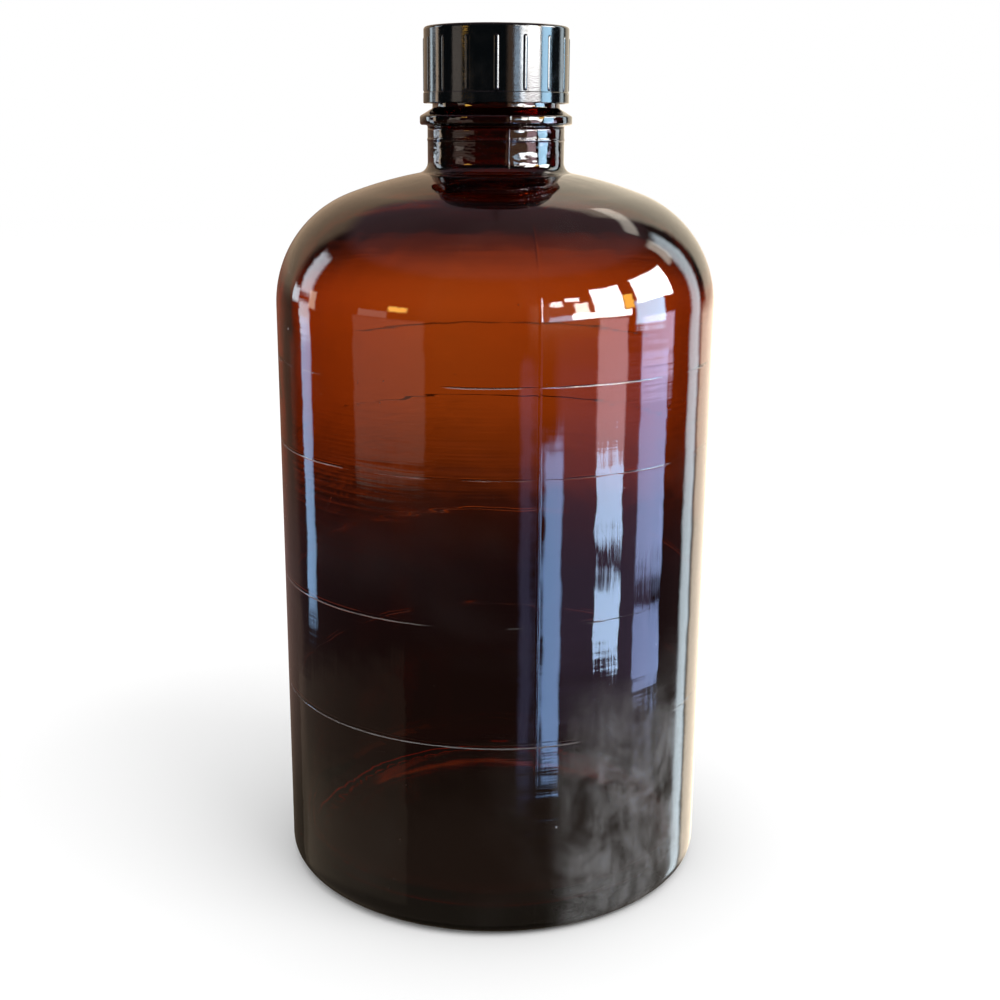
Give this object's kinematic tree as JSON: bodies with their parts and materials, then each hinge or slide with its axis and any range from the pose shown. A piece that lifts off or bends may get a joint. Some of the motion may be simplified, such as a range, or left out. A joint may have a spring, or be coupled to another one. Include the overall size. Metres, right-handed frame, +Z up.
{
  "type": "growler",
  "caption": "Round-shouldered amber glass jug with a short beaded neck, a ribbed black screw cap and a soft cone seal.",
  "frame": {"origin": "centre of the flat ring under the bottle, on the surface it stands on", "axes": "+Z up along the bottle's axis, out through the mouth; -Y is the side seen from the front"},
  "size_m": [0.124, 0.124, 0.2412],
  "materials": {
    "amber_glass": "moulded glass, slightly wavy",
    "cap_plastic": "glossy moulded, handled",
    "seal_plastic": "soft, slightly waxy"
  },
  "bodies": {
    "bottle": {"glass_bottle": "amber_glass"},
    "seal": {"cone_seal": "seal_plastic"},
    "cap": {"screw_cap": "cap_plastic"}
  },
  "joints": [
    {"name": "cap_lift", "type": "slide", "parent": "bottle", "child": "seal", "axis": [0, 0, 1], "range_m": [0, 0.0254]},
    {"name": "cap_turn", "type": "hinge", "parent": "seal", "child": "cap", "pos_m": [0, 0, 0.2312], "axis": [0, 0, 1], "range_deg": [0, 2160]}
  ],
  "couplings": [
    {"joint": "cap_lift", "follows": "cap_turn", "m_per_rad": 0.00067375}
  ]
}
